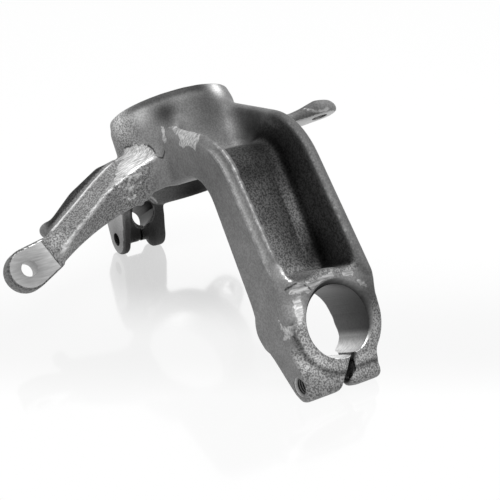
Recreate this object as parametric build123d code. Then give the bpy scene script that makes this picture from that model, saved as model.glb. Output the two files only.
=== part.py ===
from build123d import *
import math
import os

# Steering knuckle for a strut suspension, one iron casting with machined seats.
# Modelled first in the car's directions: the wheel axis is Z and points to the wheel,
# X points up along the strut, and the steering arm reaches towards -Y.
# The origin is on the wheel axis, in the outer face of the bearing housing.
# Lengths in millimetres, angles in degrees.

# Bearing housing
bearing_bore = 82.0            # seat of the wheel bearing, diameter
bearing_depth = 43.0           # from the outer face to the bearing shoulder
shoulder_bore = 72.0           # opening through the bearing shoulder
shoulder_thickness = 5.0
skirt_bore = 86.0              # cast relief for the drive joint, inboard of the shoulder
housing_band = 98.0            # machined band at the outer face, diameter
housing_body = 101.0           # cast body below the band, diameter
band_height = 7.0
housing_height = 68.0
ring_groove_width = 2.2        # retaining-ring groove in the bearing seat
ring_groove_depth = 1.6
ring_groove_from_face = 3.0

# Strut clamp
strut_bore = 50.0
strut_up = 138.3               # centre of the clamp's upper face, along X
strut_inboard = 202.8          # the same point, inboard of the outer face
strut_across = 3.0             # strut axis, along Y
strut_lean = 6.8               # strut axis leans inboard at the top by this angle
clamp_length = 52.0            # along the strut axis
clamp_back_turn = (97.0, -217.0)         # X, Z where the cast back turns towards the ears
clamp_wall = 11.5
bore_chamfer = 4.2
clamp_slit = 3.5
clamp_face_round = 5.0
clamp_bolt_offset = 34.5       # strut axis to pinch bolt axis
clamp_bolt_drop = 8.5          # pinch bolt axis below the upper face
clamp_thread = 10.2            # tapping size for the M12 pinch bolt
clamp_clearance = 12.5         # the plain half of the same bolt hole
ear_radius = 11.5
left_ear_reach = 38.0          # strut axis to the threaded ear's face
right_ear_reach = 24.0

# Gooseneck arm, a deep U channel
neck_left = -33.5              # Y of the outer faces
neck_right = 37.0
neck_wall = 9.5
neck_web = 11.0
neck_under = 70.0              # underside at the housing, inboard of the outer face
neck_inside_radius = 28.0
neck_outside_radius = 60.0
neck_top_start = (40.0, -17.0)       # X, Z where the wall tops leave the housing
neck_top_corner = (125.5, -56.0)
neck_top_end = (148.0, -175.0)
left_rim_drop = 3.0            # the left wall is lower than the right one
left_rim_fall = 14.0           # and its top slopes down to the outer face
left_rim_width = 10.0
neck_run_start = 86.0          # X of the underside after the bend
neck_run_end = 93.0            # X of the underside at the clamp
pocket_bend_radius = 24.0                # inside the pocket, at the bend
clamp_bridge = 8.0             # iron left between the pocket and the strut bore
rim_round = 5.5
pocket_round = 8.0

# Steering arm and tie-rod eye
eye_up = 20.0                  # X of the eye's machined face
eye_across = 153.0
eye_inboard = 99.5
eye_radius = 15.5
eye_thickness = 18.0
eye_hole_small = 11.6          # taper for the tie-rod stud
eye_hole_large = 13.6
shoulder_across = 130.0        # where the arm meets the flat tongue
shoulder_inboard = 91.0
tongue_width = 24.0
stop_up = -20.0                # steering stop lug, behind the arm
stop_across = 119.0
stop_inboard = 70.0

# Ball joint clamp
ball_bore = 19.0
ball_up = -77.5                # pinch bolt axis, X
ball_bolt_inboard = 82.5       # pinch bolt axis, Z
ball_across = -26.0            # middle of the clamp, Y
ball_inboard = 70.0            # stud axis, Z
ball_start_up = -52.0          # the stud bore runs from here towards -X
ball_bolt_hole = 11.0
ball_half_width = 20.0
ball_slit = 3.5
ball_ear_radius = 13.5
ball_core_radius = 8.0
left_boss = 7.5                # thickness of the bosses at the ends of the clamp
right_boss = 10.5

# Caliper ears
caliper_face = 48.0            # inboard machined face
caliper_web = 8.0              # thickness of the flat part
caliper_arch = 12.0            # height of the arched rib over the holes
caliper_hole = 12.5
caliper_ear_radius = 15.0
upper_ear = (56.0, 95.0)
lower_ear = (-44.0, 58.0)


def side_plane(across):
    # sketch x is the model's X, sketch y is the model's Z
    return Plane(origin=(0, across, 0), x_dir=(1, 0, 0), z_dir=(0, -1, 0))


def clamp_plane(below=0.0):
    # square to the strut axis: sketch x runs along +Y, sketch y runs outboard
    lean = math.radians(strut_lean)
    axis = Vector(math.cos(lean), 0, -math.sin(lean))
    centre = Vector(strut_up, strut_across, -strut_inboard) - axis * below
    return Plane(origin=centre, x_dir=(0, 1, 0), z_dir=axis)


def slab(sketch, across_from, across_to):
    # a side-view sketch pulled through the part from one Y to another
    plane = side_plane(across_from)
    return extrude(plane * sketch, across_from - across_to)


def housing_blank():
    band = housing_band / 2
    body = housing_body / 2
    step = body - band
    with BuildSketch(Plane.XZ) as profile:
        with BuildLine():
            Polyline((0, 0), (band - 1, 0), (band, -1), (band, -band_height), (body, -band_height - step),
                     (body, 2 - housing_height), (body - 2, -housing_height), (0, -housing_height), close=True)
        make_face()
    return revolve(profile.sketch, Axis.Z)


def housing_bores():
    seat = bearing_bore / 2
    with BuildSketch(Plane.XZ) as profile:
        with BuildLine():
            Polyline((0, 1), (seat + 2.5, 1), (seat, -1.5), (seat, -bearing_depth), (shoulder_bore / 2, -bearing_depth),
                     (shoulder_bore / 2, -bearing_depth - shoulder_thickness),
                     (skirt_bore / 2 - 3, -bearing_depth - shoulder_thickness),
                     (skirt_bore / 2, -bearing_depth - shoulder_thickness - 3),
                     (skirt_bore / 2, -200), (0, -200), close=True)
        make_face()
    groove = Cylinder(seat + ring_groove_depth, ring_groove_width)
    groove = Pos(0, 0, -ring_groove_from_face - ring_groove_width / 2) * groove
    return revolve(profile.sketch, Axis.Z) + groove


def neck_underside():
    # two runs of the underside and the bend between them
    start = (0, -neck_under + 3)
    bend = (neck_run_start - 2, -neck_under - 4)
    end = (neck_run_end, -strut_inboard)
    return start, bend, end


def neck_profile(fall=0.0):
    # side view of the arm; a fall lowers the wall top along its whole length
    start, bend, end = neck_underside()
    facet = (strut_up + 1 - fall * 0.5, -strut_inboard + 3)
    top_end = (neck_top_end[0] - fall, neck_top_end[1])
    corner = (neck_top_corner[0] - fall * 0.85, neck_top_corner[1] - fall * 0.7)
    top_start = (neck_top_start[0], neck_top_start[1] - fall)
    with BuildSketch() as sketch:
        with BuildLine():
            Polyline(start, bend, end, facet, top_end, corner, top_start, (0, top_start[1]), close=True)
        make_face()
        fillet(sketch.vertices().sort_by_distance(bend)[0], neck_inside_radius)
        fillet(sketch.vertices().sort_by_distance(corner)[0], neck_outside_radius)
    return sketch.sketch


def pocket_profile():
    start, bend, end = neck_underside()
    near = housing_body / 2 - 14
    floor = -neck_under + neck_web
    lean = math.tan(math.radians(strut_lean))
    wall = -strut_inboard + strut_bore / 2 + clamp_bridge
    run_top = (bend[0] + neck_web, floor)
    run_end = (end[0] + neck_web, wall + lean * (strut_up - end[0] - neck_web))
    past = strut_up + 40
    with BuildSketch() as sketch:
        with BuildLine():
            Polyline((near, 20), (near, floor), run_top, run_end, (past, wall - lean * 40), (past, 20), close=True)
        make_face()
        fillet(sketch.vertices().sort_by_distance(run_top)[0], pocket_bend_radius)
    return sketch.sketch


def gooseneck():
    # the right half is plain; the left wall is lower and its top slopes outwards
    crest = neck_left + left_rim_width
    middle = side_plane(strut_across + 15) * neck_profile()
    ridge = side_plane(crest) * neck_profile(left_rim_drop)
    body = slab(neck_profile(), strut_across + 15, neck_right)
    body = fillet(wall_top_edges(body, neck_right), rim_round)
    slope = loft([middle, ridge]) + loft([ridge, side_plane(neck_left) * neck_profile(left_rim_fall)])
    pocket = slab(pocket_profile(), neck_left + neck_wall, neck_right - neck_wall)
    sides = pocket.faces().sort_by(Axis.Y)
    pocket = fillet(sides[0].edges() + sides[-1].edges(), pocket_round)
    return body + slope - pocket


def wall_top_edges(body, across):
    # edges of one wall top, clear of the housing and of the clamp
    edges = ShapeList()
    for edge in body.edges():
        spot = edge.center()
        on_side = abs(spot.Y - across) < 0.01
        on_top = spot.X > 45 and (spot.Z > -neck_under + 20 or spot.X > strut_up - 10)
        if on_side and on_top and spot.Z > neck_top_end[1]:
            edges.append(edge)
    return edges


def clamp_ear_plane():
    # square to the pinch bolt, in the face of the threaded ear
    spot = clamp_plane(clamp_bolt_drop).from_local_coords((-left_ear_reach, -clamp_bolt_offset, 0))
    lean = math.radians(strut_lean)
    return Plane(origin=spot, x_dir=(math.cos(lean), 0, -math.sin(lean)), z_dir=(0, 1, 0))


def strut_clamp():
    radius = strut_bore / 2 + clamp_wall
    barrel = extrude(clamp_plane() * Circle(radius), -clamp_length - 20)
    turn_up, turn_in = clamp_back_turn
    low = -strut_inboard - radius - 10
    with BuildSketch() as outline:
        with BuildLine():
            Polyline((turn_up - 12, turn_in + 90), (turn_up - 12, turn_in + 25), (turn_up - 9, turn_in + 11),
                     (turn_up, turn_in), (turn_up + 15, turn_in - 12), (turn_up + 20, low), (300, low),
                     (300, turn_in + 90), close=True)
        make_face()
    barrel &= slab(outline.sketch, strut_across - radius - 1, strut_across + radius + 1)
    barrel = fillet(barrel.faces().sort_by(Axis.X)[-1].edges(), clamp_face_round)
    root = clamp_length - 2 * ear_radius
    with BuildSketch() as ear:
        Circle(ear_radius)
        with Locations((-root / 2 - 2, -clamp_bolt_offset + 8)):
            Rectangle(root, 4)
        make_hull()
    ears = extrude(clamp_ear_plane() * ear.sketch, left_ear_reach + right_ear_reach)
    return barrel + ears


def strut_clamp_cuts():
    bore = extrude(clamp_plane(-5) * Circle(strut_bore / 2), -clamp_length - 40)
    rim = strut_bore / 2 + bore_chamfer
    entry = loft([clamp_plane(bore_chamfer * 0.6) * Circle(strut_bore / 2), clamp_plane() * Circle(rim)])
    clear = extrude(clamp_plane() * Rectangle(2 * rim - 2, 4 * rim), 30)
    slit = extrude(clamp_plane(-30) * Pos(0, -40) * Rectangle(clamp_slit, 80), -clamp_length - 80)
    middle = clamp_ear_plane().offset(left_ear_reach)
    thread = extrude(middle * Circle(clamp_thread / 2), -60)
    plain = extrude(middle * Circle(clamp_clearance / 2), 60)
    return [bore, entry, clear, slit, thread, plain]


def arm_section(across, points):
    with BuildSketch(side_plane(across)) as sketch:
        with BuildLine():
            Polyline(*points, close=True)
        make_face()
    return sketch.sketch


def steering_arm():
    # a ridge runs along the upper side of every section
    root = arm_section(-36, [(8, -27), (35, -43), (12, -70), (-10, -66), (-12, -36)])
    middle = arm_section(-88, [(9, -47), (31, -65), (10, -83), (-6, -80), (-8, -52)])
    tip = arm_section(-shoulder_across, [(11, -77), (28, -96), (12, -105), (-3, -101), (-4, -82)])
    return loft([root, middle, tip])


def tie_rod_eye():
    plane = Plane(origin=(eye_up, 0, 0), x_dir=(0, -1, 0), z_dir=(-1, 0, 0))
    with BuildSketch(plane) as sketch:
        with Locations((eye_across, -eye_inboard)):
            Circle(eye_radius)
        with Locations((shoulder_across - 2, -shoulder_inboard)):
            Rectangle(4, tongue_width)
        make_hull()
    return extrude(sketch.sketch, eye_thickness)


def tie_rod_taper():
    near = Plane(origin=(eye_up + 1, -eye_across, -eye_inboard), x_dir=(0, 1, 0), z_dir=(1, 0, 0))
    far = near.offset(-eye_thickness - 2)
    return loft([far * Circle(eye_hole_large / 2), near * Circle(eye_hole_small / 2)])


def steering_stop():
    # lug that meets the control arm at full lock, on a thin rib back to the housing
    lug = Pos(stop_up, -stop_across, -stop_inboard) * Rot(0, 90, 0) * Cylinder(6, 12)
    with BuildSketch(Plane(origin=(stop_up + 3, 0, 0), x_dir=(0, 1, 0), z_dir=(1, 0, 0))) as rib:
        with BuildLine():
            Polyline((-stop_across, -stop_inboard + 4), (-96, -48), (-70, -34), (-30, -28), (-30, -60),
                     (-70, -60), (-stop_across, -stop_inboard - 8), close=True)
        make_face()
    return lug + extrude(rib.sketch, 14)


def ball_ear(across_from, across_to, radius, centre_inboard, root_up):
    with BuildSketch() as sketch:
        with Locations((ball_up, -centre_inboard)):
            Circle(radius)
        with Locations((ball_up - 1.5, -ball_inboard + 7)):
            Circle(8.5)
        with Locations((root_up - 5, -55)):
            Rectangle(10, 26)
        make_hull()
    return slab(sketch.sketch, across_from, across_to)


def ball_clamp():
    left = ball_across - ball_half_width
    right = ball_across + ball_half_width
    core_inboard = ball_bolt_inboard - 2
    core = ball_ear(left, right, ball_core_radius, core_inboard, ball_start_up)
    bosses = ball_ear(left, left + left_boss, ball_ear_radius, ball_bolt_inboard, ball_start_up + 6)
    bosses += ball_ear(right - right_boss, right, ball_ear_radius, ball_bolt_inboard, ball_start_up)
    root = Pos(ball_start_up + 4, ball_across, -49) * Box(24, 2 * ball_half_width, 20)
    return core + bosses + root


def ball_clamp_cuts():
    stud = Plane(origin=(ball_start_up + 20, ball_across, -ball_inboard), x_dir=(0, 1, 0), z_dir=(-1, 0, 0))
    bore = extrude(stud * Circle(ball_bore / 2), 90)
    slit = Pos(ball_start_up - 30, ball_across, -ball_inboard - 25) * Box(80, ball_slit, 50)
    bolt = Pos(ball_up, ball_across, -ball_bolt_inboard) * Rot(90, 0, 0) * Cylinder(ball_bolt_hole / 2, 80)
    return [bore, slit, bolt]


def caliper_ear(spot):
    # plan view and radial section of the ear, one pulled through the other
    reach = math.hypot(*spot)
    angle = math.degrees(math.atan2(spot[1], spot[0]))
    tip = reach + caliper_ear_radius
    foot = -caliper_face
    with BuildSketch(Plane.XY.offset(foot)) as plan:
        with Locations((reach, 0)):
            Circle(caliper_ear_radius)
        with Locations((44, 0)):
            Rectangle(8, 42)
        make_hull()
    with BuildSketch(Plane.XZ.offset(-40)) as section:
        with BuildLine():
            Polyline((30, foot), (tip, foot), (tip, foot + 6), (tip - 5, foot + caliper_arch - 2),
                     (reach - 1, foot + caliper_arch), (reach - 14, foot + caliper_arch - 3),
                     (reach - 22, foot + caliper_web), (30, foot + caliper_web + 3), close=True)
        make_face()
    ear = extrude(plan.sketch, caliper_arch + 5) & extrude(section.sketch, 80)
    return Rot(0, 0, angle) * ear


def caliper_hole_cut(spot):
    return Pos(spot[0], spot[1], -caliper_face) * Cylinder(caliper_hole / 2, 60)


def rest_lean():
    # the casting lies on its four clamp ears: one flat touches both pairs
    bolt = clamp_ear_plane().origin
    run = bolt.X - ball_up
    fall = bolt.Z + ball_bolt_inboard
    gap = math.hypot(run, fall)
    return math.degrees(math.asin((ear_radius - ball_ear_radius) / gap) - math.atan2(fall, run))


def steering_knuckle():
    body = housing_blank() + gooseneck() + strut_clamp() + steering_arm() + tie_rod_eye()
    body += [steering_stop(), ball_clamp(), caliper_ear(upper_ear), caliper_ear(lower_ear)]
    body -= housing_bores()
    body -= strut_clamp_cuts()
    body -= tie_rod_taper()
    body -= ball_clamp_cuts()
    body -= [caliper_hole_cut(upper_ear), caliper_hole_cut(lower_ear)]
    return body


# The row's origin is the middle of the bearing seat, on the wheel axis.
seat_middle = (bearing_depth + ring_groove_from_face + ring_groove_width) / 2
lean = rest_lean()
knuckle = Rot(0, -lean, 0) * Pos(0, 0, seat_middle) * steering_knuckle()
os.makedirs("parts", exist_ok=True)
export_step(knuckle, "parts/steering_knuckle.step")
print("rest lean", round(lean, 3), "solids", len(knuckle.solids()), "volume", round(knuckle.volume))
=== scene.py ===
import math

import bmesh
import bpy
import numpy as np
import openvdb as vdb
from mathutils import Matrix, Vector


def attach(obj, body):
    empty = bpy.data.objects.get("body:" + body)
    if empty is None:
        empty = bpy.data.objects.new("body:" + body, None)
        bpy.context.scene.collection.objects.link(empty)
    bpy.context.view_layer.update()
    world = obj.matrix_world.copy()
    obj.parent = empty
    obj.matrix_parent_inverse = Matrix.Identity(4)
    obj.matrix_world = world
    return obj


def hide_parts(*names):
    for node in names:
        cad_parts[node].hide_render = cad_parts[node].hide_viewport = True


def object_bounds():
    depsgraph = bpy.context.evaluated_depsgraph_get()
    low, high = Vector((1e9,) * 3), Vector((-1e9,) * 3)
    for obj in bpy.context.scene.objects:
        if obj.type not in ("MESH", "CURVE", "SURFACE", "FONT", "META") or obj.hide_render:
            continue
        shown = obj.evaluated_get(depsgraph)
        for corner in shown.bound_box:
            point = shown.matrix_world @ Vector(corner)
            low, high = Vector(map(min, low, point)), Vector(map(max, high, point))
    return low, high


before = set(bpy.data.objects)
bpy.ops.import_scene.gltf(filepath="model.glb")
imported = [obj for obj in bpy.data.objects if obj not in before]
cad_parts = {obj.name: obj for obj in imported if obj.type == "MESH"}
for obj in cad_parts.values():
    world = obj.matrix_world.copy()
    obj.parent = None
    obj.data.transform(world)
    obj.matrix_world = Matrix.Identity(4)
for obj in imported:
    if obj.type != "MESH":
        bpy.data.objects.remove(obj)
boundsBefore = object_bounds()
print("frame loaded")

scene = bpy.context.scene
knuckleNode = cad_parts["steering_knuckle"]

# The casting's own directions: out along the wheel axis, up the strut, and across, away from the steering arm
restLean = math.radians(36.617)
seatMiddle = 0.0241
mm = 0.001
wheelDir = Vector((-math.sin(restLean), 0, math.cos(restLean)))
strutDir = Vector((math.cos(restLean), 0, math.sin(restLean)))
acrossDir = Vector((0, 1, 0))


def place(up, across, out):
    # millimetres from the middle of the housing's outer face, in the casting's own directions
    point = strutDir * up + acrossDir * across + wheelDir * out
    return point * mm + wheelDir * seatMiddle


def toLinear(hexColour):
    channels = [int(hexColour[i:i + 2], 16) / 255 for i in (1, 3, 5)]
    return [c / 12.92 if c <= 0.04045 else ((c + 0.055) / 1.055) ** 2.4 for c in channels] + [1]


def addNode(tree, kind, settings=None, links=None):
    # links: input name or index -> (node, output name or index)
    node = tree.nodes.new(kind)
    for key, value in (settings or {}).items():
        if isinstance(key, int) or key in node.inputs:
            node.inputs[key].default_value = value
        else:
            setattr(node, key, value)
    for key, (source, output) in (links or {}).items():
        tree.links.new(source.outputs[output], node.inputs[key])
    return node


# Casting surface: from the solid's mesh to one smooth skin, in millimetres on a cubic grid
skin = {
    "grid": 1.0,          # cell size
    "band": 5,            # cells of distance kept on each side of the surface
    "margin": 6,          # empty cells round the part
    "crease": 3.0,        # radius that fills every hollow corner
    "blend": 9.0,         # radius that fills the large hollows round the housing
    "round": 2.2,         # radius of the outer corners
    "faces": 190000,
    # where the large hollows are: centre, radius, fade
    "hollows": [((46, 30, -24), 24, 14), ((50, -22, -34), 12, 10), ((54, 4, -58), 30, 12)],
    # milled and sharply cast ends, whose corners are not rounded
    "crisp": [((14, -148, -97), 24, 6), ((-77, -28, -80), 30, 8)],
}


def meshArrays(source):
    bm = bmesh.new()
    bm.from_mesh(source.data)
    bmesh.ops.remove_doubles(bm, verts=bm.verts, dist=1e-6)
    bmesh.ops.triangulate(bm, faces=bm.faces)
    points = np.array([v.co[:] for v in bm.verts], np.float32) * 1000
    faces = np.array([[v.index for v in f.verts] for f in bm.faces], np.uint32)
    bm.free()
    return points, faces


def distanceGrid(points, faces, band):
    transform = vdb.createLinearTransform(voxelSize=skin["grid"])
    corners = {"triangles": faces} if faces.shape[1] == 3 else {"quads": faces}
    return vdb.FloatGrid.createLevelSetFromPolygons(points, transform=transform, halfWidth=band, **corners)


def moveSurface(grid, distance):
    # the surface pushed outwards by the distance, measured again as a fresh grid
    band = abs(distance) / skin["grid"] + 3
    points, quads = grid.convertToQuads(isovalue=distance)
    return distanceGrid(points, quads, band)


def closed(grid, radius):
    # hollow corners filled to this radius
    grown = moveSurface(grid, radius)
    points, quads = grown.convertToQuads(isovalue=-radius)
    return distanceGrid(points, quads, skin["band"])


def opened(grid, radius):
    # outer corners rounded to this radius
    shrunk = moveSurface(grid, -radius)
    points, quads = shrunk.convertToQuads(isovalue=radius)
    return distanceGrid(points, quads, skin["band"])


points, faces = meshArrays(knuckleNode)
low = np.floor(points.min(0)).astype(int) - skin["margin"]
size = np.ceil(points.max(0)).astype(int) + skin["margin"] + 1 - low


def toArray(grid):
    values = np.zeros(size, np.float32)
    grid.copyToArray(values, ijk=tuple(int(v) for v in low))
    return values


def cells():
    # the casting's own directions at every grid cell, as three arrays
    axes = [np.arange(low[i], low[i] + size[i], dtype=np.float32) * skin["grid"] for i in range(3)]
    x, y, z = np.meshgrid(*axes, indexing="ij", sparse=True)
    c, s = math.cos(restLean), math.sin(restLean)
    return x * c + z * s, y + 0 * x, -x * s + z * c - seatMiddle * 1000


def near(field, centre, radius, fade):
    up, across, out = field
    away = np.sqrt((up - centre[0]) ** 2 + (across - centre[1]) ** 2 + (out - centre[2]) ** 2)
    return np.clip((radius + fade - away) / fade, 0, 1)


def anyNear(field, places):
    amount = near(field, *places[0])
    for spot in places[1:]:
        amount = np.maximum(amount, near(field, *spot))
    return amount


# Drilled and bored holes: filled before the skin is softened, and cut afterwards
clampLean = math.radians(6.8)
clampDir = (math.cos(clampLean), 0, -math.sin(clampLean))
clampFace = (138.3, 3.0, -202.8)


def onClamp(below, across, outboard):
    # a point of the strut clamp, measured from the bore's upper rim
    lean = clampDir
    return (clampFace[0] - below * lean[0] - outboard * lean[2], clampFace[1] + across,
            clampFace[2] - below * lean[2] + outboard * lean[0])


pinch = onClamp(8.5, 0, -34.5)
holes = [
    {"name": "strutBore", "start": onClamp(0.5, 0, 0), "along": tuple(-v for v in clampDir),
     "radius": 25, "fill": 34, "cut": 90, "lead": 30},
    {"name": "pinchThread", "start": (pinch[0], -34.5, pinch[2]), "along": (0, 1, 0),
     "radius": 5.1, "fill": 60, "cut": 37, "lead": 6},
    {"name": "pinchPlain", "start": (pinch[0], 26.5, pinch[2]), "along": (0, -1, 0),
     "radius": 6.25, "fill": 20, "cut": 24, "lead": 6},
    {"name": "ballStud", "start": (-87, -26, -70), "along": (1, 0, 0),
     "radius": 9.5, "fill": 30, "cut": 56, "lead": 9},
    {"name": "ballPinch", "start": (-77.5, -45.5, -82.5), "along": (0, 1, 0),
     "radius": 5.5, "fill": 38, "cut": 46, "lead": 6},
    {"name": "tieRod", "start": (19.5, -153, -99.5), "along": (-1, 0, 0),
     "radius": 5.8, "fill": 17, "cut": 22, "lead": 6},
    {"name": "caliperUpper", "start": (56, 95, -47.5), "along": (0, 0, 1),
     "radius": 6.25, "fill": 8, "cut": 16, "lead": 6},
    {"name": "caliperLower", "start": (-44, 58, -47.5), "along": (0, 0, 1),
     "radius": 6.25, "fill": 8, "cut": 16, "lead": 6},
]


def alongHole(field, hole):
    # how deep each place lies along a hole's axis, and how far from it
    offsets = [field[i] - hole["start"][i] for i in range(3)]
    depth = sum(offsets[i] * hole["along"][i] for i in range(3))
    return depth, np.sqrt(np.maximum(sum(o * o for o in offsets) - depth * depth, 0))


def plug(field, hole):
    # distance to a solid cylinder, a little wider than the hole that it fills
    depth, away = alongHole(field, hole)
    return np.maximum(away - hole["radius"] - 0.6, np.abs(depth - hole["fill"] / 2) - hole["fill"] / 2)


def block(field, centre, half):
    offsets = [np.abs(field[i] - centre[i]) - half[i] for i in range(3)]
    return np.maximum(np.maximum(offsets[0], offsets[1]), offsets[2])


def blurred(values, rounds):
    for _ in range(rounds):
        for axis in range(3):
            ahead, behind = np.roll(values, 1, axis), np.roll(values, -1, axis)
            values = values * 0.5 + (ahead + behind) * 0.25
    return values


def toGrid(values):
    made = vdb.FloatGrid(float(skin["margin"]))
    made.transform = vdb.createLinearTransform(voxelSize=skin["grid"])
    made.copyFromArray(values, ijk=tuple(int(v) for v in low))
    return made


field = cells()
values = toArray(distanceGrid(points, faces, skin["band"]))
for hole in holes:
    values = np.minimum(values, plug(field, hole))
# the two clamps' sawn slits are filled as well
slitEnd = onClamp(20, 0, -33)
values = np.minimum(values, block(field, (slitEnd[0] + 4, 3, slitEnd[2]), (13, 2.4, 8)))
values = np.minimum(values, block(field, (-76, -26, -82), (8, 2.6, 6)))
blankPoints, blankQuads = toGrid(values).convertToQuads(isovalue=0.0)
solid = distanceGrid(blankPoints, blankQuads, skin["blend"] / skin["grid"] + 3)
values = toArray(solid)
softened = np.minimum(values, toArray(closed(solid, skin["crease"])))
filled = np.minimum(softened, toArray(closed(solid, skin["blend"])))
print("hollow corners filled")
hub = anyNear(field, skin["hollows"])
values = softened * (1 - hub) + filled * hub


# Foundry shapes the plain solid leaves out: worked on the grid, each in its own corner of it
shapes = {
    # strut clamp: a round collar, and the ears that lie lower than it
    "collar": 35.0,
    "collarFlat": -33.4,
    "creaseDeep": 2.1,
    "creaseWide": 1.8,
    "earBulge": 0.3,
    "earDrop": 3.5,
    # its slit, as (across, outboard) from the bore's axis
    "slitHalf": 1.6,
    "slitWidens": 0.3,
    "slitFrom": (6.5, -24.0),
    "slitTo": (-6.5, -43.0),
    # the gooseneck's wall tops in the side view, as (up, out)
    "wallTopStart": (40.0, -17.0),
    "wallTopCorner": (125.5, -56.0),
    "wallTopEnd": (148.0, -175.0),
    "wallTopRound": 60.0,
    "wallTopLead": 40,
    # the left rim slopes down to the outer face, between two cast seams
    "rimTrim": 0.9,
    "rimFlat": -23.5,
    "outerSeam": (-32.8, 12.6, 1.4),
    "innerSeam": (-28.0, 1.1),
    # steering arm
    "ridgeRound": 1.3,
    "ribRound": 3.2,
    "ribLevel": -6,
    "ribFrom": -56,
    "ribTo": -127,
}


def zone(centre, reach):
    spot = place(*centre) / mm
    return tuple(slice(max(0, int(spot[i] - low[i] - reach)),
                       int(spot[i] - low[i] + reach)) for i in range(3))


def within(part):
    return (field[0][part[0], :, part[2]], field[1][part[0], part[1], :], field[2][part[0], :, part[2]])


def smooth(amount, start, end):
    t = np.clip((amount - start) / (end - start), 0, 1)
    return t * t * (3 - 2 * t)


def clampPlace(up, across, out):
    # across, outboard and below, measured from the strut bore's upper rim
    dx, dz = up - clampFace[0], out - clampFace[2]
    return (across - clampFace[1], -dx * clampDir[2] + dz * clampDir[0],
            -(dx * clampDir[0] + dz * clampDir[2]))


def roundedPath(start, corner, end, radius):
    # two straight runs joined by an arc, the first one led past its start
    start, corner, end = (np.array(p) for p in (start, corner, end))
    first, second = start - corner, end - corner
    first, second = first / np.linalg.norm(first), second / np.linalg.norm(second)
    half = math.acos(float(np.clip(first @ second, -1, 1))) / 2
    reach = radius / math.tan(half)
    middle = first + second
    middle = corner + middle / np.linalg.norm(middle) * radius / math.sin(half)
    a, b = corner + first * reach - middle, corner + second * reach - middle
    path = [start + first * shapes["wallTopLead"]]
    for step in range(25):
        spot = a * (1 - step / 24) + b * (step / 24)
        path.append(middle + spot / np.linalg.norm(spot) * radius)
    return np.array(path + [end])


wallTop = roundedPath(shapes["wallTopStart"], shapes["wallTopCorner"], shapes["wallTopEnd"],
                      shapes["wallTopRound"])


def aboveWallTop(up, out):
    # distance outside the channel's wall tops, in the side view
    best = None
    for i in range(len(wallTop) - 1):
        a, run = wallTop[i], wallTop[i + 1] - wallTop[i]
        t = np.clip(((up - a[0]) * run[0] + (out - a[1]) * run[1]) / (run @ run), 0, 1)
        dx, dz = up - a[0] - run[0] * t, out - a[1] - run[1] * t
        away = dx * dx + dz * dz
        side = run[0] * dz - run[1] * dx
        if best is None:
            best, sign = away, np.sign(side)
        else:
            closer = away < best
            best, sign = np.where(closer, away, best), np.where(closer, np.sign(side), sign)
    return np.sqrt(best) * sign


def rimDrop(across):
    # how far the left rim lies below the wall tops, more towards the outer face
    return 0.9 * (3 + 1.1 * np.clip(shapes["rimFlat"] - across, 0, 11)) + shapes["rimTrim"]


def leftRim(up, across, out):
    cut = (aboveWallTop(up, out) + rimDrop(across)) * 0.68
    keep = smooth(-out, 42, 54) * smooth(out, -168, -156) * smooth(-across, 18, 21)
    return cut - 8 * (1 - keep)


def collarStep(a, o):
    # distance past the collar: round on one side of the bore, straight on the other
    ring = np.sqrt(a * a + o * o) - shapes["collar"]
    flat = shapes["collarFlat"] - o
    mix = smooth(a, -6, 6)
    return ring * (1 - mix) + flat * mix


def ears(up, across, out):
    a, o, below = clampPlace(up, across, out)
    past = collarStep(a, o)
    crease = shapes["creaseDeep"] * np.exp(-(past / shapes["creaseWide"]) ** 2)
    depth = shapes["earBulge"] + shapes["earDrop"] * np.clip((-o - 39) / 7, 0, 1.2) ** 2 + crease
    keep = smooth(past, -0.8, 0.8) * smooth(-o, -12, 0)
    return (depth - below) * 0.9 - 9 * (1 - keep)


def skewSlit(up, across, out):
    # the slit runs from the bore's lower side and leans towards the threaded ear
    a, o, below = clampPlace(up, across, out)
    (a0, o0), (a1, o1) = shapes["slitFrom"], shapes["slitTo"]
    length = math.hypot(a1 - a0, o1 - o0)
    run = ((a1 - a0) / length, (o1 - o0) / length)
    along = (a - a0) * run[0] + (o - o0) * run[1]
    off = np.abs((a - a0) * run[1] - (o - o0) * run[0])
    wide = shapes["slitHalf"] + shapes["slitWidens"] * smooth(along, 2, 14)
    return -np.maximum(off - wide, -2 - along)


def trim(centre, reach, shape):
    part = zone(centre, reach)
    values[part] = np.maximum(values[part], shape(*within(part)))


def raiseUp(centre, reach, shape):
    part = zone(centre, reach)
    values[part] = np.minimum(values[part], shape(*within(part)))


def tube(path, radius):
    # distance to a round bead along a path
    def shape(up, across, out):
        best = None
        for i in range(len(path) - 1):
            a, run = path[i], [path[i + 1][k] - path[i][k] for k in range(3)]
            long = sum(r * r for r in run)
            t = np.clip(((up - a[0]) * run[0] + (across - a[1]) * run[1] + (out - a[2]) * run[2]) / long, 0,
                        1)
            du, da, do = up - a[0] - run[0] * t, across - a[1] - run[1] * t, out - a[2] - run[2] * t
            away = du ** 2 + da ** 2 + do ** 2
            best = away if best is None else np.minimum(best, away)
        return np.sqrt(best) - radius
    return shape


# the steering arm's lines, as (up, across, out)
armRidge = [(28.2, -76, -56), (28.6, -90, -66.5), (27.8, -101, -75.5), (27.0, -111, -82.4),
            (25.8, -121, -89), (23.6, -129.5, -96)]
backRib = [(-12, -54, -33), (-12, -66, -36.5), (-12, -79, -42.5), (-13, -93, -51), (-14, -104.5, -60),
           (-16, -113, -66)]
armEdge = [(-2, -50.4, -28), (4, -59, -33), (8.9, -67, -37.4), (10.7, -77, -43.1), (12.4, -89.2, -50.7),
           (13.9, -101.4, -59), (13.7, -109.9, -64.7), (13.4, -117.4, -69.6), (12.8, -126, -75.2),
           (15, -131, -79)]


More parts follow.
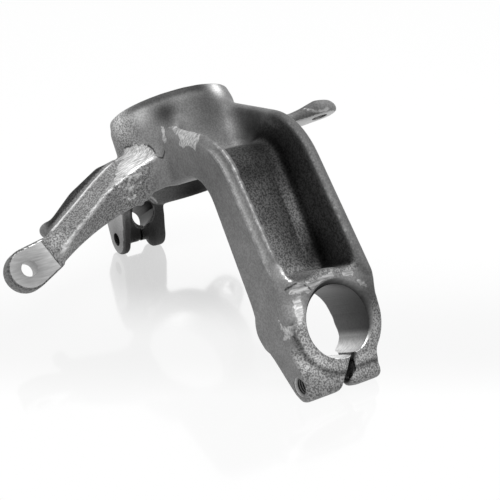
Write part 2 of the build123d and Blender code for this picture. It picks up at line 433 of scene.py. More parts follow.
def rimBead(across0, drop, radius):
    def shape(up, across, out):
        above = aboveWallTop(up, out) + drop
        keep = smooth(-out, 52, 66) * smooth(out, -165, -150)
        return np.sqrt((across - across0) ** 2 + above ** 2) - radius * keep + 3 * (1 - keep)
    return shape


def pastArmEdge(across, out):
    return out - np.interp(-across, [-p[1] for p in armEdge], [p[2] for p in armEdge]).astype(np.float32)


def behindArm(up, across, out):
    # the arm's far edge stands up sharply, with only a thin rib behind it
    ends = np.minimum(shapes["ribFrom"] - across, across - shapes["ribTo"]) * 0.5
    return np.minimum(np.minimum(pastArmEdge(across, out), up - shapes["ribLevel"]), ends)


# the corner of the grid that each shape is worked in: its middle and half its side
corner = {
    "behindArm": ((0, -92, -55), 62),
    "backRib": ((-10, -90, -50), 62),
    "armRidge": ((27, -100, -75), 62),
    "leftRim": ((110, -28, -110), 84),
    "ears": (onClamp(10, 0, -38), 60),
    "slit": (onClamp(20, 0, -38), 62),
}
trim(*corner["behindArm"], behindArm)
trim(*corner["leftRim"], leftRim)
trim(*corner["ears"], ears)
trim(*corner["slit"], skewSlit)
raiseUp(*corner["backRib"], tube(backRib, shapes["ribRound"]))
crisp = anyNear(field, skin["crisp"])
part = zone(*corner["armRidge"])
crisp[part] = np.maximum(crisp[part], np.clip(1 - tube(armRidge, 20)(*within(part)) / 5, 0, 1))
eased = toArray(opened(toGrid(values), skin["round"]))
values = eased * (1 - crisp) + values * crisp
values = blurred(values, 2)
raiseUp(*corner["armRidge"], tube(armRidge, shapes["ridgeRound"]))
raiseUp(*corner["leftRim"], rimBead(*shapes["outerSeam"]))
innerAcross, innerRound = shapes["innerSeam"]
innerDrop = rimDrop(np.float32(innerAcross))
raiseUp(*corner["leftRim"], rimBead(innerAcross, innerDrop, innerRound))
values = blurred(values, 1)
print("foundry shapes worked in")
skinPoints, skinQuads = toGrid(values).convertToQuads(isovalue=0.0)
castingMesh = bpy.data.meshes.new("casting")
castingMesh.from_pydata((skinPoints * mm).tolist(), [], skinQuads.tolist())
castingMesh.update()
casting = bpy.data.objects.new("casting", castingMesh)
scene.collection.objects.link(casting)
print("casting skin", len(castingMesh.polygons))


def applyModifier(obj, kind, **settings):
    modifier = obj.modifiers.new(kind, kind)
    for key, value in settings.items():
        setattr(modifier, key, value)
    graph = bpy.context.evaluated_depsgraph_get()
    mesh = bpy.data.meshes.new_from_object(obj.evaluated_get(graph))
    obj.modifiers.clear()
    old = obj.data
    obj.data = mesh
    bpy.data.meshes.remove(old)


applyModifier(casting, "DECIMATE", ratio=min(1, skin["faces"] / (2 * len(castingMesh.polygons))))


def toolMesh(name, rings, start, along, sides=96):
    # a turned cutter: rings are (distance along, radius) pairs
    axis = (strutDir * along[0] + acrossDir * along[1] + wheelDir * along[2]).normalized()
    turn = axis.to_track_quat("Z", "Y").to_matrix()
    origin = place(*start)
    corners, sheets = [], []
    for depth, radius in rings:
        for i in range(sides):
            angle = 2 * math.pi * i / sides
            corners.append(origin + turn @ Vector((radius * math.cos(angle), radius * math.sin(angle),
                                                   depth)) * mm)
    for ring in range(len(rings) - 1):
        for i in range(sides):
            a, b = ring * sides + i, ring * sides + (i + 1) % sides
            sheets.append((a, b, b + sides, a + sides))
    sheets.append(tuple(reversed(range(sides))))
    sheets.append(tuple(range((len(rings) - 1) * sides, len(rings) * sides)))
    mesh = bpy.data.meshes.new(name)
    mesh.from_pydata(corners, [], sheets)
    tool = bpy.data.objects.new(name, mesh)
    scene.collection.objects.link(tool)
    return tool


def blockMesh(name, centre, half):
    bm = bmesh.new()
    bmesh.ops.create_cube(bm, size=2)
    mesh = bpy.data.meshes.new(name)
    for vertex in bm.verts:
        vertex.co = place(*[centre[i] + vertex.co[i] * half[i] for i in range(3)])
    bm.to_mesh(mesh)
    bm.free()
    tool = bpy.data.objects.new(name, mesh)
    scene.collection.objects.link(tool)
    return tool


def prismMesh(name, outline, bottom, top):
    # a straight-sided cutter standing along the strut direction, from (across, out) corners
    count = len(outline)
    corners = [place(level, across, out) for level in (bottom, top) for across, out in outline]
    sheets = [(i, (i + 1) % count, (i + 1) % count + count, i + count) for i in range(count)]
    sheets += [tuple(reversed(range(count))), tuple(range(count, 2 * count))]
    bm = bmesh.new()
    points = [bm.verts.new(corner) for corner in corners]
    for sheet in sheets:
        bm.faces.new([points[i] for i in sheet])
    bmesh.ops.recalc_face_normals(bm, faces=bm.faces)
    mesh = bpy.data.meshes.new(name)
    bm.to_mesh(mesh)
    bm.free()
    tool = bpy.data.objects.new(name, mesh)
    scene.collection.objects.link(tool)
    return tool


cutters = {
    # turned cutters, as (depth, radius)
    "boreEdge": [(-20, 27.3), (-0.4, 27.3), (5, 22)],
    "boreEdgeAside": (1.4, 1.9),
    "taper": [(-6, 5.55), (24, 6.8)],
    "thread": {"length": 36, "radius": 5.1, "pitch": 1.75, "deep": 0.9},
    "seat": [(-30, 43.5), (-5, 43.5), (0, 43.5), (2.5, 41), (3, 41), (3, 42.6), (5.2, 42.6), (5.2, 41),
             (43, 41),
             (43, 36), (48, 36), (48, 40), (51, 43), (90, 43)],
    # blocks, as a centre and half sizes
    "ballSlit": ((-82, -26, -95), (30, 1.75, 25)),
    "ballEarFace": ((-85, -57, -80), (30, 11.3, 32)),
    # the flat on the tie-rod eye, as (across, out), and its level
    "eyeMiddle": (-153, -99.5),
    "eyeRadius": 13.9,
    "tongue": [(-141, -115), (-131, -108.5), (-130.2, -104.6), (-139.1, -82.6), (-144.5, -84)],
    "eyeLevel": 19.55,
}


def eyeOutline():
    # a round face and the tongue, up to the arm's shoulder
    across, out = cutters["eyeMiddle"]
    outline = []
    for step in range(33):
        angle = math.radians(90 + step * 200 / 32)
        outline.append((across + cutters["eyeRadius"] * math.cos(angle),
                        out + cutters["eyeRadius"] * math.sin(angle)))
    return outline + cutters["tongue"]


def cutAway(tool):
    applyModifier(casting, "BOOLEAN", object=tool, operation="DIFFERENCE", solver="MANIFOLD")
    bpy.data.objects.remove(tool)


def mendMesh(mesh):
    # points that the cuts left double are merged, and faces with many corners split, so the skin stays closed
    work = bmesh.new()
    work.from_mesh(mesh)
    bmesh.ops.remove_doubles(work, verts=work.verts, dist=0.001 * mm)
    bmesh.ops.triangulate(work, faces=work.faces)
    work.to_mesh(mesh)
    work.free()


def threadRings(length, radius, pitch, deep):
    rings = [(-6, radius + 1.6), (0, radius + 1.6), (1.6, radius)]
    depth = 1.6
    while depth < length:
        rings += [(depth + pitch * 0.5, radius + deep), (depth + pitch, radius)]
        depth += pitch
    return rings


for hole in holes:
    rings = [(-hole["lead"], hole["radius"]), (hole["cut"], hole["radius"])]
    if hole["name"] == "strutBore":
        start = onClamp(0, *cutters["boreEdgeAside"])
        cutAway(toolMesh("boreEdge", cutters["boreEdge"], start, hole["along"]))
    if hole["name"] == "pinchThread":
        rings = threadRings(**cutters["thread"])
    if hole["name"] == "tieRod":
        rings = cutters["taper"]
    cutAway(toolMesh(hole["name"], rings, hole["start"], hole["along"]))
cutAway(toolMesh("bearingSeat", cutters["seat"], (0, 0, 0), (0, 0, -1), 128))
cutAway(blockMesh("ballSlit", *cutters["ballSlit"]))
cutAway(prismMesh("eyeFace", eyeOutline(), cutters["eyeLevel"], 40))
cutAway(blockMesh("ballEarFace", *cutters["ballEarFace"]))
mendMesh(casting.data)
print("machined holes cut")
for polygon in casting.data.polygons:
    polygon.use_smooth = True
casting.data.set_sharp_from_angle(angle=math.radians(38))
print("casting faces", len(casting.data.polygons))


# Finish maps: the painted light and shade on each spot of the casting, how coarse it is and how freshly
# ground
def inCasting(flat, origin):
    # row directions to the casting's own: up the strut, across, out towards the wheel
    rows = flat.reshape(-1, 3)
    c, s = math.cos(restLean), math.sin(restLean)
    return np.stack([rows[:, 0] * c + rows[:, 2] * s, rows[:, 1],
                     -rows[:, 0] * s + rows[:, 2] * c - origin], 1)


def readAll(items, name, origin=None):
    flat = np.zeros(len(items) * 3, np.float32)
    items.foreach_get(name, flat)
    return inCasting(flat, 0) if origin is None else inCasting(flat * 1000, origin)


finishAndPaintedLight = {
    # share of the tone taken away by painted shade, place by place
    "paintedShade": {"pocketWall": 0.9, "pocket": 0.1, "ballEnd": 0.6, "upperEdge": 0.6, "behindArm": 0.84,
               "crease": 0.6, "slit": 0.85, "rightRim": 0.4},
    # and added to it by painted highlights
    "paintedHighlight": {"armEdge": 1.6, "collar": 0.35, "ears": 0.25},
    # painted highlights and painted shade: up, across, out, radius, how much lighter or darker
    "paintedLightSpots": [(50, 7, -12, 20, 0.4), (50, 0, -34, 14, 0.75), (8, -48, -5, 14, 3.0), (45, 22, -6, 8, 9),
               (44, -26, -16, 8, 0.22), (31, -41, -12, 9, 2.0), (46, 20, -38, 9, 1.5),
               (95, 3, -80, 26, 0.1), (104, 20, -150, 14, 0.2), (142, 34, -192, 12, 0.4),
               (-42, 0, -62, 26, 0.5), (-38, 20, -62, 16, 0.35), (24, -124, -93, 9, 1.8),
               (20, -153, -99, 18, 0.45), (-78, -48, -80, 22, 0.5), (-72, -30, -80, 14, 0.3),
               (-72, -8, -80, 16, 0.55), (28, -58, -45, 13, 1.7), (24, -48, -34, 8, 1.4),
               (139, -25, -186, 9, 1.7), (139, -26, -160, 6, 1.7), (-38, 19, -61, 12, 0.45),
               (136, -22, -222, 12, 1.35), (137, 27, -218, 12, 1.1), (70, 27, -48, 14, 0.35),
               (90, 14, -66, 14, 0.35), (66, 80, -44, 14, 0.5), (141.5, -8, -175, 13, 0.72)],
    # dark hairlines: painted shade in the crevice between the steering arm's ground face and the housing, and
    # a crack by the strut clamp
    "creaseShadeAndCracks": [[(6, -50, -27.2), (10.7, -49.3, -27.7), (17.7, -47.3, -29), (24.2, -44.3, -30.6),
                (29.1, -41.3, -33.4), (31.9, -39.2, -37.7), (33.4, -37.8, -45.2), (36, -35.3, -47.4),
                (39.8, -33.5, -43)],
               [(138.2, -29.2, -172.1), (141.4, -26.1, -171.3), (142.1, -20.9, -170.5),
                (142.1, -17.1, -171), (141.7, -14.8, -173.9), (141.2, -11.2, -177.7)]],
    "patches": {
        "armRoot": [(17, -62, -37), (20, -51, -32), (24, -44.6, -32), (30.5, -40.2, -36.2),
                    (32.1, -39, -40.6), (33.7, -38.7, -45.1), (33.3, -47.8, -47.8), (32.9, -57.8, -50.9),
                    (31.3, -65.2, -55.1), (31.9, -74.4, -57.8), (27.7, -76.2, -55.4), (23, -69.5, -47.2)],
        "armRootTop": [(10.2, -62, -36), (6.1, -50.1, -27.3), (16.5, -47.7, -29.1), (24.7, -44, -31.6),
                       (29.9, -40.6, -35.6), (26.7, -42.8, -38.1), (19.7, -46.5, -36.8),
                       (16.6, -54.2, -38.1)],
        "neckRoot": [(46.9, -28, -28.1), (60, -25.2, -31.2), (74.5, -25.6, -38.3), (87.6, -27.6, -46.7),
                     (92.2, -29.8, -51.5), (87.3, -33.5, -58.9), (83.8, -33.5, -54), (71.7, -33.5, -50.2),
                     (62.3, -33.5, -47.3), (68.2, -33.1, -43.8), (55.5, -29.2, -33.6)],
        "slitMark": [(40.1, -30.7, -24.7), (42, -28.6, -25.7), (47.4, -33.5, -36.3), (42.1, -33.5, -38.5),
                     (42.6, -33, -31.7)],
        "clampCorner": [(136.9, -27.5, -155.5), (139.9, -25, -156.8), (142, -24, -163),
                        (142.4, -22.8, -168.3), (139.5, -27, -166.1), (138.4, -27.2, -161.2)],
        "bridge": [(139.1, -28.8, -174.7), (142.2, -22.2, -170.2), (142, -14.7, -171.7),
                   (142, -3.9, -171.7), (142.1, 7.1, -171.1), (141.8, 7.7, -173.6), (141.7, -3.4, -174.1),
                   (140.8, -9.5, -177.5), (141, -13.7, -179.3), (141.4, -18.9, -176.8),
                   (141.4, -24.3, -177), (140.1, -27.6, -177)],
        "besideBore": [(141.5, -26.1, -178.3), (141.2, -21.4, -178.3), (140.4, -21, -185.2),
                       (138.7, -22.8, -192.5), (138.8, -25.4, -197.5), (139.1, -28.2, -195.6),
                       (139.4, -27.8, -188.9), (139.5, -27, -183.4)],
        "sideFleck": [(123.7, -33.5, -195.1), (138, -30.9, -195.8), (138.7, -29.4, -198.7),
                      (137.7, -30.8, -202.7), (133.2, -33.5, -202.4), (126.8, -33.3, -204.3),
                      (121.6, -33.4, -203), (128.2, -33.5, -199.3)],
        "bridgeRight": [(141.9, 15.7, -172.3), (142.1, 20.9, -171.3), (141.7, 24.3, -173.9),
                        (141.4, 24, -176.7), (141.7, 15.7, -174.6)],
        "rimRight": [(140.9, 25.5, -180.6), (140.6, 30.2, -183.6), (140.2, 29.9, -186.5),
                     (140.5, 26.4, -184.4)],
        # a bright strip along the upper caliper ear's top, drawn as a ground spot
        "caliperEdge": [(64.7, 78.3, -40.4), (66.3, 81.6, -41.6), (68.9, 87.1, -44.6),
                        (70.9, 96.5, -45.4), (70.9, 97, -47.4), (68.5, 87, -47.2), (66.3, 81.6, -44)],
    },
}


def patchDepth(spots, normals, corners):
    # millimetres inside a patch's outline, negative outside it
    corners = np.array(corners, np.float32)
    middle = corners.mean(0)
    flat = np.linalg.svd(corners - middle)[2]
    path = (corners - middle) @ flat[:2].T
    offset = spots - middle
    reach = np.linalg.norm(corners - middle, axis=1).max() + 6
    close = np.linalg.norm(offset, axis=1) < reach
    depth = np.full(len(spots), -5, np.float32)
    points = offset[close] @ flat[:2].T
    lift = np.abs(offset[close] @ flat[2])
    facing = np.abs(normals[close] @ flat[2])
    best = np.full(len(points), 1e9)
    inside = np.zeros(len(points), bool)
    for i in range(len(path)):
        a, b = path[i - 1], path[i]
        run = b - a
        t = np.clip(((points - a) @ run) / (run @ run), 0, 1)
        best = np.minimum(best, np.linalg.norm(points - a - t[:, None] * run, axis=1))
        crosses = (a[1] > points[:, 1]) != (b[1] > points[:, 1])
        slope = (points[:, 1] - a[1]) / (b[1] - a[1] + 1e-9)
        inside ^= crosses & (points[:, 0] < a[0] + slope * (b[0] - a[0]))
    depth[close] = np.where(inside & (lift < 7) & (facing > 0.45), best, -best)
    return depth


spots = readAll(casting.data.vertices, "co", seatMiddle * 1000)
normals = readAll(casting.data.vertices, "normal")
up, across, out = spots.T
above = aboveWallTop(up, out)
# painted light: a factor on the colour, raised by painted highlights and lowered by painted shade
paintedLight = np.ones(len(up), np.float32)
for su, sa, so, radius, factor in finishAndPaintedLight["paintedLightSpots"]:
    away = ((up - su) ** 2 + (across - sa) ** 2 + (out - so) ** 2) / radius ** 2
    paintedLight *= factor ** np.exp(-away)
# painted shade in the pocket, darkest on the wall away from the steering arm
inside = smooth(across, -26, -22) * smooth(-across, -31, -26) * smooth(-out, 44, 56)
inside = inside * smooth(out, -176, -170) * smooth(-above, 1, 7) * smooth(up, 60, 76)
rightWall = inside * smooth(-normals[:, 1], 0.1, 0.7)
paintedShade, paintedHighlight = finishAndPaintedLight["paintedShade"], finishAndPaintedLight["paintedHighlight"]
paintedLight *= 1 - paintedShade["pocketWall"] * rightWall
paintedLight *= 1 - paintedShade["pocket"] * inside * (1 - rightWall)
# painted shade on the ball joint clamp's end
ballEnd = smooth(-up, 44, 52) * smooth(-out, 52, 60) * smooth(across, -45.3, -43.5)
paintedLight *= 1 - paintedShade["ballEnd"] * ballEnd
# painted shade along the housing's upper rim
upperEdge = smooth(out, -8, -4) * smooth(np.hypot(up, across), 44, 46) * smooth(up, 6, 30)
upperEdge = upperEdge * smooth(-across, -16, -4)
paintedLight *= 1 - paintedShade["upperEdge"] * upperEdge
# painted highlight along the arm's far edge, and painted shade in the hollow behind it
armEdgeSeen = armEdge[1:-1]
paintedLight *= 1 + paintedHighlight["armEdge"] * np.exp(-np.maximum(tube(armEdgeSeen, 0)(up, across, out) / 1.4, 0) ** 2)
alongArm = smooth(-across, 56, 62) * smooth(across, -124, -118) * smooth(-up, -10, -6)
paintedLight *= 1 - paintedShade["behindArm"] * smooth(pastArmEdge(across, out), 0.8, 2.6) * alongArm
# strut clamp: painted shade in the crease under the collar and in the slit, painted highlights on the collar
# and the ears, and a painted reflection inside the bore
boreAcross, boreOut, boreBelow = clampPlace(up, across, out)
boreAway = np.hypot(boreAcross, boreOut)
inBore = (boreAway < 25.6) & (boreBelow > 0)
onBoreEdge = (boreAway >= 25.6) & (boreAway < 31) & (boreBelow < 5) & (up > 100)
past = collarStep(boreAcross, boreOut)
front = smooth(-boreBelow, -8, -4) * smooth(-boreOut, -14, -4)
paintedLight *= 1 - paintedShade["crease"] * front * np.exp(-((past + 0.3) / 1.5) ** 2)
onCollar, onEars = np.exp(-((past + 4.5) / 3) ** 2), np.exp(-((past - 4.5) / 3) ** 2)
paintedLight *= 1 + paintedHighlight["collar"] * front * onCollar + paintedHighlight["ears"] * front * onEars
slitDepth = skewSlit(up, across, out)
slitDark = smooth(slitDepth, -1.4, -0.4) * smooth(boreBelow, 2.5, 5) * smooth(-boreOut, 20, 24)
paintedLight *= 1 - paintedShade["slit"] * slitDark * (1 - 0.7 * smooth(boreBelow, 7, 10) * smooth(boreOut, -31, -28))
# painted reflection inside the strut bore, brightest towards the ears
paintedHoleLightAndShade = np.where(inBore, 0.08 + 2.3 * smooth(-boreOut, 11, 24) + 0.1 * smooth(boreBelow, 4, 40), 1)
# painted shade on the right wall's rim
paintedLight *= 1 - paintedShade["rightRim"] * smooth(across, 24, 28) * smooth(above, -7, -4) * smooth(up, 90, 105)
# painted shade on the strut bore's chamfer
paintedHoleLightAndShade = np.where(onBoreEdge, 0.5, paintedHoleLightAndShade)
# painted shade inside the small holes, lighter on their rim
for hole in holes:
    if hole["radius"] < 7 and hole["name"] != "tieRod":
        depth, away = alongHole((up, across, out), hole)
        inHole = (away < hole["radius"] + 1.1) & (depth > 0.9) & (depth < hole["cut"] + 1)
        paintedHoleLightAndShade = np.where(inHole, np.where(away < hole["radius"] + 0.3, 0.3, 0.04), paintedHoleLightAndShade)
# painted shade inside the ball stud's bore
paintedHoleLightAndShade = np.where((np.hypot(across + 26, out + 70) < 10) & (up < -50), 0.3, paintedHoleLightAndShade)
# the grain is coarsest on the arm and in the pocket
grain = 0.3 + 0.7 * np.maximum(smooth(-across, 40, 50) * smooth(up, -12, -4), inside)
grain = np.maximum(grain, smooth(up, 100, 110) * smooth(-out, 190, 200) * smooth(normals[:, 0], 0.2, 0.6))
ground = np.full(len(up), -5, np.float32)
for corners in finishAndPaintedLight["patches"].values():
    ground = np.maximum(ground, patchDepth(spots, normals, corners))
# distance to the nearest cast seam, kept to its stretch of the rim, and to the arm's ridge and far edge:
# painted highlights run along these lines
noLine = 6
along = smooth(-out, 52, 60)
highlightLine = np.hypot(across + 33.0, above + 12.8) + noLine * (1 - along * smooth(out, -168, -160))
innerLine = np.hypot(across - innerAcross, above + innerDrop)
innerLine = innerLine + noLine * (1 - along * smooth(out, -150, -144))
rightLine = np.hypot(across - 28.2, above + 1.0) + noLine * (1 - along * smooth(out, -172, -168))
highlightLine = np.minimum(np.minimum(highlightLine, innerLine), rightLine)
highlightLine = np.minimum(highlightLine, tube(armRidge, 1.2)(up, across, out))
highlightLine = np.minimum(highlightLine, tube(armEdgeSeen, 1.0)(up, across, out))
creaseShadeAndCracks = np.full(len(up), noLine, np.float32)
for path in finishAndPaintedLight["creaseShadeAndCracks"]:
    creaseShadeAndCracks = np.minimum(creaseShadeAndCracks, tube(path, 0)(up, across, out))
maps = {"paintedLight": paintedLight, "paintedHoleLightAndShade": paintedHoleLightAndShade, "creaseShadeAndCrack": creaseShadeAndCracks, "grain": grain, "ground": ground,
        "highlightLine": np.minimum(highlightLine, noLine)}
for name, amounts in maps.items():
    layer = casting.data.attributes.new(name, "FLOAT", "POINT")
    layer.data.foreach_set("value", amounts.astype(np.float32))


# How the two finishes look
iron = {
    "castColour": "#757575",
    "castMetallic": 0.35,
    "castRough": 0.6,
    "groundRough": 0.35,
    "machinedRough": 0.38,
    # noise cells to the metre: 820 is a grain of 1.2 mm, far coarser than real sand so that it shows
    "grain": 820,
    "broad": 60,
    "torn": 220,
    "grainSwing": 0.55,
    "grainHeight": 0.0005,
    # marks left by the grinding wheel and the cutter, 11 mm long and 1 to 2 mm wide
    "grindMarks": (800, 90, 500),
    "cutMarks": (700, 90, 700),
}


def sandCastIron():
    # grey iron as it leaves a sand mould: dull and grainy, bright where it was ground and where highlights
    # are painted, with painted shade in its hollows
    material = bpy.data.materials.new("sandCastIron")
    material.use_nodes = True
    tree = material.node_tree
    shader = tree.nodes["Principled BSDF"]
    place3d = addNode(tree, "ShaderNodeTexCoord")
    paintedLightNode, grainNode, groundNode, highlightLineNode, creaseShadeAndCrackNode = [
        addNode(tree, "ShaderNodeAttribute", {"attribute_name": name})
        for name in ("paintedLight", "grain", "ground", "highlightLine", "creaseShadeAndCrack")]
    fine = addNode(tree, "ShaderNodeTexNoise", {"Scale": iron["grain"], "Detail": 1, "Roughness": 0.5},
                   {"Vector": (place3d, "Object")})
    broad = addNode(tree, "ShaderNodeTexNoise", {"Scale": iron["broad"], "Detail": 4, "Roughness": 0.6},
                    {"Vector": (place3d, "Object")})
    # the grain swings the tone about one, and a broad cloud lies over it
    swing = addNode(tree, "ShaderNodeMapRange",
                    {"From Min": 0.38, "From Max": 0.62, "To Min": -1.0, "To Max": 1.0},
                    {"Value": (fine, "Fac")})
    amount = addNode(tree, "ShaderNodeMath", {"operation": "MULTIPLY"},
                     {0: (swing, 0), 1: (grainNode, "Fac")})
    grainTone = addNode(tree, "ShaderNodeMath",
                        {"operation": "MULTIPLY_ADD", 1: iron["grainSwing"], 2: 1.0}, {0: (amount, 0)})
    patchy = addNode(tree, "ShaderNodeMapRange",
                     {"From Min": 0.3, "From Max": 0.7, "To Min": 0.85, "To Max": 1.15},
                     {"Value": (broad, "Fac")})
    both = addNode(tree, "ShaderNodeMath", {"operation": "MULTIPLY"}, {0: (grainTone, 0), 1: (patchy, 0)})
    # the painted light and shade multiply it
    withPaintedLight = addNode(tree, "ShaderNodeMath", {"operation": "MULTIPLY"}, {0: (both, 0), 1: (paintedLightNode, "Fac")})
    skinWithPaintedLight = addNode(tree, "ShaderNodeMix",
                       {"data_type": "RGBA", "blend_type": "MULTIPLY", "Factor": 1.0})
    skinWithPaintedLight.inputs[6].default_value = toLinear(iron["castColour"])
    tree.links.new(withPaintedLight.outputs[0], skinWithPaintedLight.inputs[7])
    # ground spots have torn edges and long grinding lines
    torn = addNode(tree, "ShaderNodeTexNoise", {"Scale": iron["torn"], "Detail": 4, "Roughness": 0.65},
                   {"Vector": (place3d, "Object")})
    edge = addNode(tree, "ShaderNodeMath", {"operation": "MULTIPLY_ADD", 1: 7.0, 2: -3.5},
                   {0: (torn, "Fac")})
    reach = addNode(tree, "ShaderNodeMath", {"operation": "ADD"}, {0: (groundNode, "Fac"), 1: (edge, 0)})
    patch = addNode(tree, "ShaderNodeMapRange", {"From Min": -0.3, "From Max": 0.3}, {"Value": (reach, 0)})
    # painted highlights along the parting lines, the arm's ridge and its far edge, in broken dashes
    broken = addNode(tree, "ShaderNodeMath", {"operation": "MULTIPLY_ADD", 1: -3.0, 2: 2.5},
                     {0: (torn, "Fac")})
    lineReach = addNode(tree, "ShaderNodeMath", {"operation": "SUBTRACT"},
                        {0: (broken, 0), 1: (highlightLineNode, "Fac")})
    seam = addNode(tree, "ShaderNodeMapRange", {"From Min": -0.4, "From Max": 0.5, "To Max": 0.6},
                   {"Value": (lineReach, 0)})
    mask = addNode(tree, "ShaderNodeMath", {"operation": "MAXIMUM"}, {0: (patch, 0), 1: (seam, 0)})
    stretch = addNode(tree, "ShaderNodeMapping", {"Scale": iron["grindMarks"]},
                      {"Vector": (place3d, "Object")})
    lines = addNode(tree, "ShaderNodeTexNoise", {"Scale": 1.0, "Detail": 2},
                    {"Vector": (stretch, "Vector")})
    lineTone = addNode(tree, "ShaderNodeMapRange",
                       {"From Min": 0.3, "From Max": 0.7, "To Min": 0.16, "To Max": 0.6},
                       {"Value": (lines, "Fac")})
    mixed = addNode(tree, "ShaderNodeMix", {"data_type": "RGBA"}, {0: (mask, 0)})
    tree.links.new(skinWithPaintedLight.outputs[2], mixed.inputs[6])
    # the ground spots take the painted light and shade as well
    groundWithPaintedLight = addNode(tree, "ShaderNodeMath", {"operation": "MULTIPLY"},
                         {0: (lineTone, 0), 1: (paintedLightNode, "Fac")})
    tree.links.new(groundWithPaintedLight.outputs[0], mixed.inputs[7])
    # the crack and the painted crevice shade wander a little off their path
    wander = addNode(tree, "ShaderNodeMath", {"operation": "MULTIPLY_ADD", 1: 1.6, 2: -0.8},
                     {0: (torn, "Fac")})
    creaseShadeAndCrackWide = addNode(tree, "ShaderNodeMath", {"operation": "ADD"},
                        {0: (creaseShadeAndCrackNode, "Fac"), 1: (wander, 0)})
    dark = addNode(tree, "ShaderNodeMapRange", {"From Min": 0.4, "From Max": 1.0, "To Min": 0.12},
                   {"Value": (creaseShadeAndCrackWide, 0)})
    cracked = addNode(tree, "ShaderNodeMix", {"data_type": "RGBA", "blend_type": "MULTIPLY", "Factor": 1.0},
                      {6: (mixed, 2), 7: (dark, 0)})
    tree.links.new(cracked.outputs[2], shader.inputs["Base Color"])
    rough = addNode(tree, "ShaderNodeMapRange",
                    {"To Min": iron["castRough"], "To Max": iron["groundRough"]}, {"Value": (mask, 0)})
    tree.links.new(rough.outputs[0], shader.inputs["Roughness"])
    # the specular strength follows the painted light
    sheen = addNode(tree, "ShaderNodeMath", {"operation": "MULTIPLY", 1: 0.5, "use_clamp": True},
                    {0: (paintedLightNode, "Fac")})
    tree.links.new(sheen.outputs[0], shader.inputs["Specular IOR Level"])
    shader.inputs["Metallic"].default_value = iron["castMetallic"]
    deep = addNode(tree, "ShaderNodeMath", {"operation": "MULTIPLY", 1: iron["grainHeight"]},
                   {0: (grainNode, "Fac")})
    bump = addNode(tree, "ShaderNodeBump", {"Strength": 0.8},
                   {"Height": (fine, "Fac"), "Distance": (deep, 0)})
    tree.links.new(bump.outputs[0], shader.inputs["Normal"])
    return material


def machinedIron():
    # bored, drilled and milled iron: a bright metal with fine marks from the cutter, under painted light and
    # shade, with a painted reflection in the strut bore
    material = bpy.data.materials.new("machinedIron")
    material.use_nodes = True
    tree = material.node_tree
    shader = tree.nodes["Principled BSDF"]
    place3d = addNode(tree, "ShaderNodeTexCoord")
    paintedLightNode = addNode(tree, "ShaderNodeAttribute", {"attribute_name": "paintedLight"})
    stretch = addNode(tree, "ShaderNodeMapping", {"Scale": iron["cutMarks"]},
                      {"Vector": (place3d, "Object")})
    lines = addNode(tree, "ShaderNodeTexNoise", {"Scale": 1.0, "Detail": 3},
                    {"Vector": (stretch, "Vector")})
    lineTone = addNode(tree, "ShaderNodeMapRange",
                       {"From Min": 0.3, "From Max": 0.7, "To Min": 0.33, "To Max": 0.47},
                       {"Value": (lines, "Fac")})
    withPaintedLight = addNode(tree, "ShaderNodeMath", {"operation": "MULTIPLY"},
                    {0: (lineTone, 0), 1: (paintedLightNode, "Fac")})
    paintedHoleNode = addNode(tree, "ShaderNodeAttribute", {"attribute_name": "paintedHoleLightAndShade"})
    lit = addNode(tree, "ShaderNodeMath", {"operation": "MULTIPLY"}, {0: (withPaintedLight, 0), 1: (paintedHoleNode, "Fac")})
    tree.links.new(lit.outputs[0], shader.inputs["Base Color"])
    shader.inputs["Metallic"].default_value = 1.0
    shader.inputs["Roughness"].default_value = iron["machinedRough"]
    return material


casting.data.materials.clear()
casting.data.materials.append(sandCastIron())
casting.data.materials.append(machinedIron())


def machinedFaces(mesh):
    centres = readAll(mesh.polygons, "center", seatMiddle * 1000).T
    normals = readAll(mesh.polygons, "normal").T
    found = np.zeros(len(mesh.polygons), bool)
    for hole in holes:
        depth, away = alongHole(centres, hole)
        reach = 0.4 if hole["name"] == "strutBore" else 1.2
        found |= (away < hole["radius"] + reach) & (depth > -3) & (depth < hole["cut"] + 2) & (away > 1)
    a, o, below = clampPlace(centres[0], centres[1], centres[2])
    facing = normals[0] * clampDir[0] + normals[2] * clampDir[2]
    aside = cutters["boreEdgeAside"]
    edgeReach = 27.6 - np.clip(below - 0.4, 0, 4)
    found |= (np.hypot(a - aside[0],
                       o - aside[1]) < edgeReach) & (below < 5) & (below > 0.1) & (facing < 0.9)
    away = np.hypot(centres[0], centres[1])
    found |= (away < 44) & (centres[2] > -52)
    found |= (centres[1] < -45.5) & (normals[1] < -0.9) & (centres[0] < -50)
    found |= (centres[2] < -47.4) & (centres[2] > -49) & (normals[2] < -0.9) & (centres[1] > 45)
    eyeSide = (centres[1] + 139.1) * 0.927 + (centres[2] + 82.6) * 0.375
    tongue = (centres[0] > 19.3) & (centres[0] < 19.8) & (normals[0] > 0.9) & (eyeSide < 0.4)
    return found | tongue, tongue


mesh = casting.data
machined, tongue = machinedFaces(mesh)
# the milled tongue is flat up to its rim
mesh.polygons.foreach_set("use_smooth", ~tongue)
mesh.polygons.foreach_set("material_index", machined.astype(np.int32))
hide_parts("steering_knuckle")
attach(casting, "root")
print("finishes mapped")

# Floor: glossy and white, glowing like a lit sweep
sweep = {
    "half": 9,
    "backward": (-0.851, 0.525, 0),
    "bounce": (0.86, 0.86, 0.86, 1),
    # metres away from the camera, and the strength from the first place to the second
    "glowBehind": ((-0.11, 0.03), (0.93, 1.0)),
    "glowBefore": ((-0.25, -0.15), (0.12, 0.0)),
    "mirror": ((-0.14, -0.04), (0.06, 0.36)),
    "mirrorRough": 0.1,
}
floorHeight = boundsBefore[0].z
floorMesh = bpy.data.meshes.new("floor")
half = sweep["half"]
floorCorners = [(x, y, floorHeight)
                for x, y in ((-half, -half), (half, -half), (half, half), (-half, half))]
floorMesh.from_pydata(floorCorners, [], [(0, 1, 2, 3)])
floor = bpy.data.objects.new("floor", floorMesh)
scene.collection.objects.link(floor)


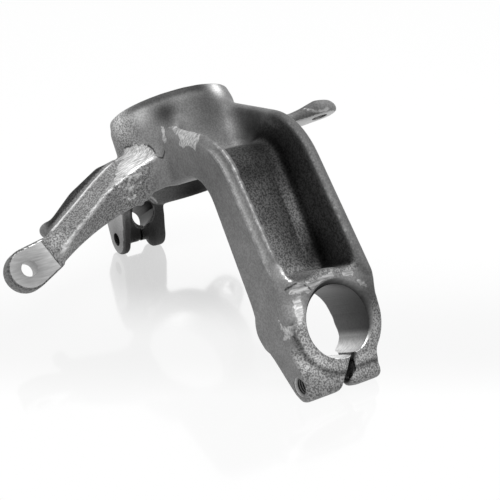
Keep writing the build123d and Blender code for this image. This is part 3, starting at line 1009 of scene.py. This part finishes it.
def glossyWhiteFloor():
    material = bpy.data.materials.new("glossyWhiteFloor")
    material.use_nodes = True
    tree = material.node_tree
    matt = tree.nodes["Principled BSDF"]
    matt.inputs["Base Color"].default_value = sweep["bounce"]
    matt.inputs["Roughness"].default_value = 0.6
    place3d = addNode(tree, "ShaderNodeTexCoord")
    backward = addNode(tree, "ShaderNodeVectorMath", {"operation": "DOT_PRODUCT", 1: sweep["backward"]},
                       {0: (place3d, "Object")})

    def faded(name):
        (start, end), (first, last) = sweep[name]
        settings = {"From Min": start, "From Max": end, "To Min": first, "To Max": last,
                    "interpolation_type": "SMOOTHSTEP"}
        return addNode(tree, "ShaderNodeMapRange", settings, {"Value": (backward, "Value")})

    # painted glow: white behind the part, a little greyer under it and white again in front
    behind, before = faded("glowBehind"), faded("glowBefore")
    glow = addNode(tree, "ShaderNodeMath", {"operation": "ADD", "use_clamp": True},
                   {0: (behind, 0), 1: (before, 0)})
    light = addNode(tree, "ShaderNodeEmission", {"Color": (1, 1, 1, 1)}, {"Strength": (glow, 0)})
    gloss = addNode(tree, "ShaderNodeBsdfGlossy",
                    {"Color": (1, 1, 1, 1), "Roughness": sweep["mirrorRough"]})
    soft = addNode(tree, "ShaderNodeMixShader", {0: 0.15})
    tree.links.new(gloss.outputs[0], soft.inputs[1])
    tree.links.new(matt.outputs[0], soft.inputs[2])
    # the reflection is clear at the ball joint's clamp and fades towards the front
    base = addNode(tree, "ShaderNodeMixShader", {}, {0: (faded("mirror"), 0)})
    tree.links.new(light.outputs[0], base.inputs[1])
    tree.links.new(soft.outputs[0], base.inputs[2])
    tree.links.new(base.outputs[0], tree.nodes["Material Output"].inputs["Surface"])
    return material


floorMesh.materials.append(glossyWhiteFloor())

# Light: an even white room and one broad lamp overhead
world = bpy.data.worlds.new("studio")
scene.world = world
world.use_nodes = True
world.node_tree.nodes["Background"].inputs["Color"].default_value = (1, 1, 1, 1)
lightPath = addNode(world.node_tree, "ShaderNodeLightPath")
worldStrength = addNode(world.node_tree, "ShaderNodeMapRange", {"To Min": 0.6, "To Max": 1.0},
                        {"Value": (lightPath, "Is Glossy Ray")})
world.node_tree.links.new(worldStrength.outputs[0], world.node_tree.nodes["Background"].inputs["Strength"])


def softbox(name, spot, target, size, energy):
    data = bpy.data.lights.new(name, "AREA")
    data.size = size
    data.energy = energy
    lamp = bpy.data.objects.new(name, data)
    lamp.location = spot
    lamp.rotation_mode = "QUATERNION"
    lamp.rotation_quaternion = (Vector(target) - Vector(spot)).to_track_quat("-Z", "Y")
    scene.collection.objects.link(lamp)


softbox("overhead", spot=(0.3, 0.1, 1.1), target=(0.08, 0, 0), size=0.8, energy=14)

# Camera: its axes in the casting's own directions, and where the housing lies along them, in millimetres
view = {
    "sensor": 36,
    "lens": 79.2,
    "right": (0.4219, 0.8503, -0.3146),
    "up": (0.2122, 0.2447, 0.9461),
    "back": (0.8815, -0.4659, -0.0772),
    "shift": (-64.9, 114.4, -871.9),
}
cameraData = bpy.data.cameras.new("camera")
cameraData.sensor_width = view["sensor"]
cameraData.lens = view["lens"]
camera = bpy.data.objects.new("camera", cameraData)
scene.collection.objects.link(camera)
sides = [strutDir * view[side][0] + acrossDir * view[side][1] + wheelDir * view[side][2]
         for side in ("right", "up", "back")]
axes = Matrix(sides).transposed()
spot = -(axes @ Vector(view["shift"])) * mm + wheelDir * seatMiddle
camera.matrix_world = Matrix.LocRotScale(spot, axes.to_quaternion(), None)
cameraData.clip_start = 0.05
cameraData.clip_end = 60
scene.camera = camera
scene.view_settings.view_transform = "Standard"
print("floor, light and camera set")
